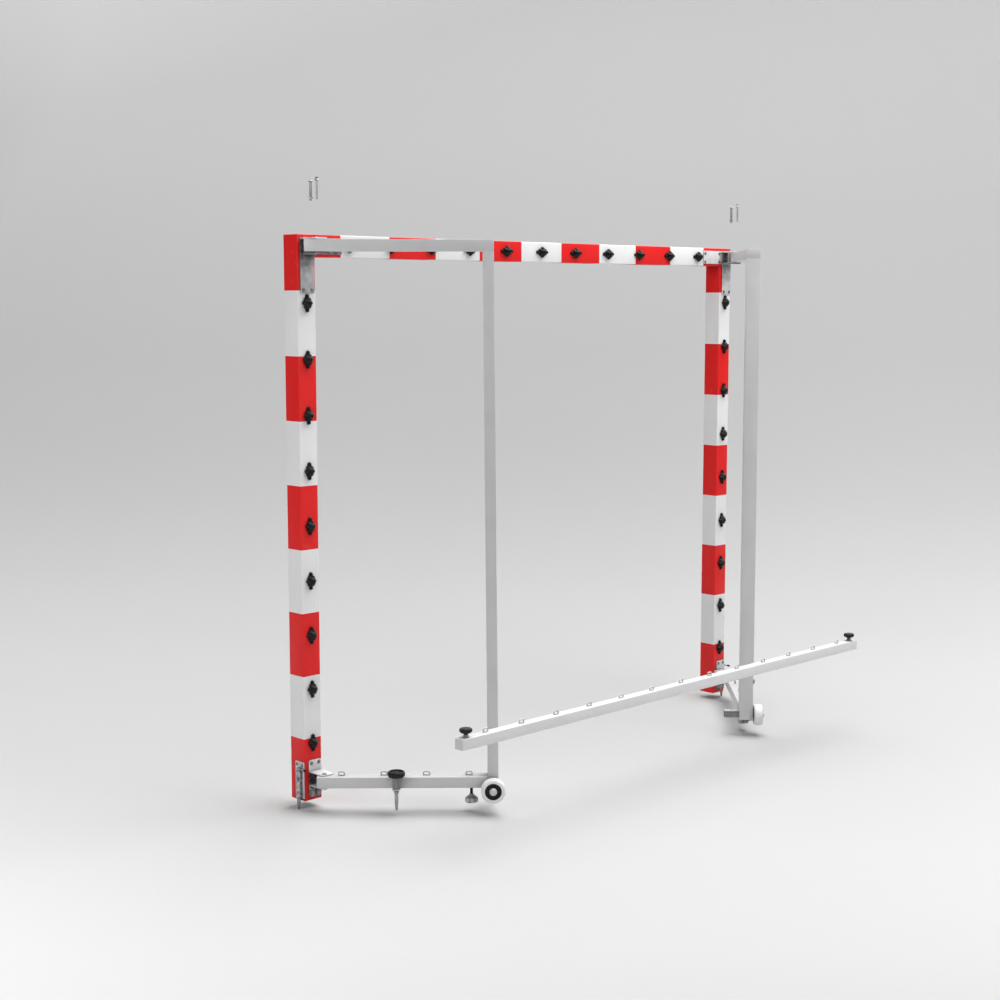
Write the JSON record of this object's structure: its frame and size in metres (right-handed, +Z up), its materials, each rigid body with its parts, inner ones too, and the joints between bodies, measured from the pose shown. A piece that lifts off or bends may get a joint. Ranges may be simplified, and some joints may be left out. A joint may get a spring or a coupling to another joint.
{
  "type": "handball goal",
  "caption": "Handball goal with striped square posts and crossbar, net hooks, folding side frames on wheels and a removable ground bar",
  "frame": {"origin": "Centre of the bounding box in X and Y at rest, on the ground line at the tips of the posts' drop bolts", "axes": "+Z up, X along the crossbar, the mouth faces -Y and the net side is +Y; the left post, seen from the net side, is at +X"},
  "size_m": [2.558, 0.8606, 2.3103],
  "materials": {
    "striped_paint": "white powder coat with red bands",
    "black_plastic": "black moulded plastic, satin",
    "zinc_steel": "zinc-plated steel",
    "spring_steel": "bare spring wire",
    "grey_alloy": "matt grey anodised tube",
    "white_tyre": "white wheel with a black centre ring"
  },
  "bodies": {
    "goal_frame": {"bottom_bracket_left": "zinc_steel", "bottom_bracket_right": "zinc_steel", "crossbar": "striped_paint", "hook_crossbar_01": "black_plastic", "hook_crossbar_02": "black_plastic", "hook_crossbar_03": "black_plastic", "hook_crossbar_04": "black_plastic", "hook_crossbar_05": "black_plastic", "hook_crossbar_06": "black_plastic", "hook_crossbar_07": "black_plastic", "hook_crossbar_08": "black_plastic", "hook_crossbar_09": "black_plastic", "hook_crossbar_10": "black_plastic", "hook_crossbar_11": "black_plastic", "hook_left_1": "black_plastic", "hook_left_2": "black_plastic", "hook_left_3": "black_plastic", "hook_left_4": "black_plastic", "hook_left_5": "black_plastic", "hook_left_6": "black_plastic", "hook_left_7": "black_plastic", "hook_left_8": "black_plastic", "hook_left_9": "black_plastic", "hook_right_1": "black_plastic", "hook_right_2": "black_plastic", "hook_right_3": "black_plastic", "hook_right_4": "black_plastic", "hook_right_5": "black_plastic", "hook_right_6": "black_plastic", "hook_right_7": "black_plastic", "hook_right_8": "black_plastic", "hook_right_9": "black_plastic", "post_anchor_housing_left": "zinc_steel", "post_anchor_housing_right": "zinc_steel", "post_left": "striped_paint", "post_right": "striped_paint", "top_bracket_left": "zinc_steel", "top_bracket_right": "zinc_steel"},
    "side_frame_left": {"side_frame_left": "grey_alloy", "axle_bolt_left": "zinc_steel"},
    "wheel_left": {"wheel_left": "white_tyre"},
    "levelling_foot_left": {"levelling_foot_left": "black_plastic"},
    "ground_anchor_left": {"ground_anchor_left": "black_plastic", "anchor_spring_left": "spring_steel"},
    "post_anchor_bolt_left": {"post_anchor_bolt_left": "zinc_steel"},
    "pivot_pin_left": {"pivot_pin_left": "zinc_steel"},
    "lock_bolt_left": {"lock_bolt_left": "zinc_steel"},
    "side_frame_right": {"side_frame_right": "grey_alloy", "axle_bolt_right": "zinc_steel"},
    "wheel_right": {"wheel_right": "white_tyre"},
    "levelling_foot_right": {"levelling_foot_right": "black_plastic"},
    "ground_anchor_right": {"ground_anchor_right": "black_plastic", "anchor_spring_right": "spring_steel"},
    "post_anchor_bolt_right": {"post_anchor_bolt_right": "zinc_steel"},
    "pivot_pin_right": {"pivot_pin_right": "zinc_steel"},
    "lock_bolt_right": {"lock_bolt_right": "zinc_steel"},
    "ground_bar": {"ground_bar": "grey_alloy"},
    "bar_knob_left": {"bar_knob_left": "black_plastic"},
    "bar_knob_right": {"bar_knob_right": "black_plastic"}
  },
  "joints": [
    {"name": "frame_swing_left", "type": "hinge", "parent": "goal_frame", "child": "side_frame_left", "pos_m": [1.2175, -0.28429, 0.0945], "axis": [0, 0, 1], "range_deg": [-46.2, 43.8]},
    {"name": "wheel_spin_left", "type": "hinge", "parent": "side_frame_left", "child": "wheel_left", "pos_m": [0.8043, 0.18469, 0.091], "axis": [0.6921, 0.7218, 0], "continuous": true},
    {"name": "foot_turn_left", "type": "hinge", "parent": "side_frame_left", "child": "levelling_foot_left", "pos_m": [0.82558, 0.09154, 0.0945], "axis": [0, 0, 1], "continuous": true},
    {"name": "anchor_press_left", "type": "slide", "parent": "side_frame_left", "child": "ground_anchor_left", "axis": [0, 0, 1], "range_m": [-0.0075, 0], "stiffness_N_per_m": 900, "springref_m": 0.0009, "deforming": ["anchor_spring_left"]},
    {"name": "drop_bolt_left", "type": "slide", "parent": "goal_frame", "child": "post_anchor_bolt_left", "axis": [0, 0, 1], "range_m": [0, 0.045]},
    {"name": "pivot_pin_lift_left", "type": "slide", "parent": "goal_frame", "child": "pivot_pin_left", "axis": [0, 0, 1], "range_m": [-0.198, 0]},
    {"name": "lock_bolt_lift_left", "type": "slide", "parent": "goal_frame", "child": "lock_bolt_left", "axis": [0, 0, 1], "range_m": [-0.128, 0]},
    {"name": "frame_swing_right", "type": "hinge", "parent": "goal_frame", "child": "side_frame_right", "pos_m": [-1.2175, -0.28429, 0.0945], "axis": [0, 0, -1], "range_deg": [-46.2, 43.8]},
    {"name": "wheel_spin_right", "type": "hinge", "parent": "side_frame_right", "child": "wheel_right", "pos_m": [-0.8043, 0.18469, 0.091], "axis": [-0.6921, 0.7218, 0], "continuous": true},
    {"name": "foot_turn_right", "type": "hinge", "parent": "side_frame_right", "child": "levelling_foot_right", "pos_m": [-0.82558, 0.09154, 0.0945], "axis": [0, 0, 1], "continuous": true},
    {"name": "anchor_press_right", "type": "slide", "parent": "side_frame_right", "child": "ground_anchor_right", "axis": [0, 0, 1], "range_m": [-0.0075, 0], "stiffness_N_per_m": 900, "springref_m": 0.0009, "deforming": ["anchor_spring_right"]},
    {"name": "drop_bolt_right", "type": "slide", "parent": "goal_frame", "child": "post_anchor_bolt_right", "axis": [0, 0, 1], "range_m": [0, 0.045]},
    {"name": "pivot_pin_lift_right", "type": "slide", "parent": "goal_frame", "child": "pivot_pin_right", "axis": [0, 0, 1], "range_m": [-0.198, 0]},
    {"name": "lock_bolt_lift_right", "type": "slide", "parent": "goal_frame", "child": "lock_bolt_right", "axis": [0, 0, 1], "range_m": [-0.128, 0]},
    {"name": "ground_bar_lift", "type": "slide", "parent": "goal_frame", "child": "ground_bar", "axis": [0, 0.2684, 0.9633], "range_m": [-0.25817, 0]},
    {"name": "bar_knob_turn_left", "type": "hinge", "parent": "ground_bar", "child": "bar_knob_left", "pos_m": [1.1545, 0.40779, 0.4], "axis": [0, 0, 1], "continuous": true},
    {"name": "bar_knob_turn_right", "type": "hinge", "parent": "ground_bar", "child": "bar_knob_right", "pos_m": [-1.1545, 0.40779, 0.4], "axis": [0, 0, 1], "continuous": true}
  ]
}
